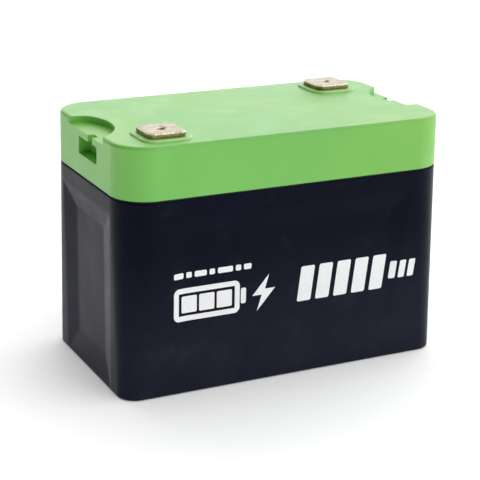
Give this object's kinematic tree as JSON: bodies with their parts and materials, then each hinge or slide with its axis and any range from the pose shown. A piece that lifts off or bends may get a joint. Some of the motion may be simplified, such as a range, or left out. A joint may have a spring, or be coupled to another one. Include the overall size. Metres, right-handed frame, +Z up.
{
  "type": "block battery",
  "caption": "Sealed block battery with a black tapered case, sunk side panels, a green lid, handle sockets at both ends and square threaded terminal pads on a diagonal.",
  "frame": {"origin": "centre of the base, on the surface that the battery stands on", "axes": "+Z up out of the lid, +X along the long side, +Y towards the rear long side"},
  "size_m": [0.306, 0.173, 0.2242],
  "materials": {
    "case_plastic": "dark blue-black moulded plastic, satin, fine moulded grain",
    "lid_plastic": "light green moulded plastic, satin, softly rounded edges",
    "gasket_rubber": "black sealing rubber",
    "terminal_metal": "plated copper alloy with a warm tint, smooth, a little worn",
    "zinc_steel": "bright zinc plate",
    "foam": "dense closed-cell foam",
    "cell_wrap": "blue heat-shrink film over an aluminium can",
    "insulator_board": "woven glass and epoxy sheet",
    "strap_plastic": "ribbed polyester strap",
    "copper": "plain rolled copper",
    "tray_plastic": "natural white moulded plastic",
    "heat_spreader_aluminium": "rolled aluminium plate",
    "circuit_board": "green solder-mask on glass-epoxy board",
    "component_plastic": "black moulded epoxy",
    "lead_red": "red silicone insulation",
    "lead_black": "black silicone insulation",
    "ribbon_plastic": "light grey bundled wires"
  },
  "bodies": {
    "root": {"case_shell": "case_plastic", "seam_gasket": "gasket_rubber", "lid_cover": "lid_plastic", "terminal_block_positive": "terminal_metal", "terminal_block_negative": "terminal_metal", "terminal_seal_positive": "gasket_rubber", "terminal_seal_negative": "gasket_rubber", "terminal_washer_positive": "zinc_steel", "terminal_washer_negative": "zinc_steel", "terminal_locknut_positive": "zinc_steel", "terminal_locknut_negative": "zinc_steel", "lug_locknut_positive": "zinc_steel", "lug_locknut_negative": "zinc_steel", "base_pad": "foam", "cell_1": "cell_wrap", "cell_2": "cell_wrap", "cell_3": "cell_wrap", "cell_4": "cell_wrap", "cell_separator_1": "insulator_board", "cell_separator_2": "insulator_board", "cell_separator_3": "insulator_board", "end_plate_left": "insulator_board", "end_foam_left": "foam", "end_plate_right": "insulator_board", "end_foam_right": "foam", "stack_strap_front": "strap_plastic", "stack_strap_rear": "strap_plastic", "series_link_1": "copper", "series_link_2": "copper", "series_link_3": "copper", "cell_nut_1_front": "zinc_steel", "cell_nut_1_rear": "zinc_steel", "cell_nut_2_front": "zinc_steel", "cell_nut_2_rear": "zinc_steel", "cell_nut_3_front": "zinc_steel", "cell_nut_3_rear": "zinc_steel", "cell_nut_4_front": "zinc_steel", "cell_nut_4_rear": "zinc_steel", "bms_tray": "tray_plastic", "bms_heat_spreader": "heat_spreader_aluminium", "bms_standoff_1": "zinc_steel", "bms_standoff_2": "zinc_steel", "bms_standoff_3": "zinc_steel", "bms_standoff_4": "zinc_steel", "bms_board": "circuit_board", "bms_transistors": "component_plastic", "bms_shunt": "copper", "bms_balance_socket": "tray_plastic", "cell_lug_positive": "copper", "cell_lug_negative": "copper", "terminal_lug_positive": "copper", "terminal_lug_negative": "copper", "board_lug_battery": "copper", "board_lug_output": "copper", "positive_lead": "lead_red", "board_lead": "lead_black", "negative_lead": "lead_black", "balance_harness": "ribbon_plastic"}
  },
  "joints": []
}
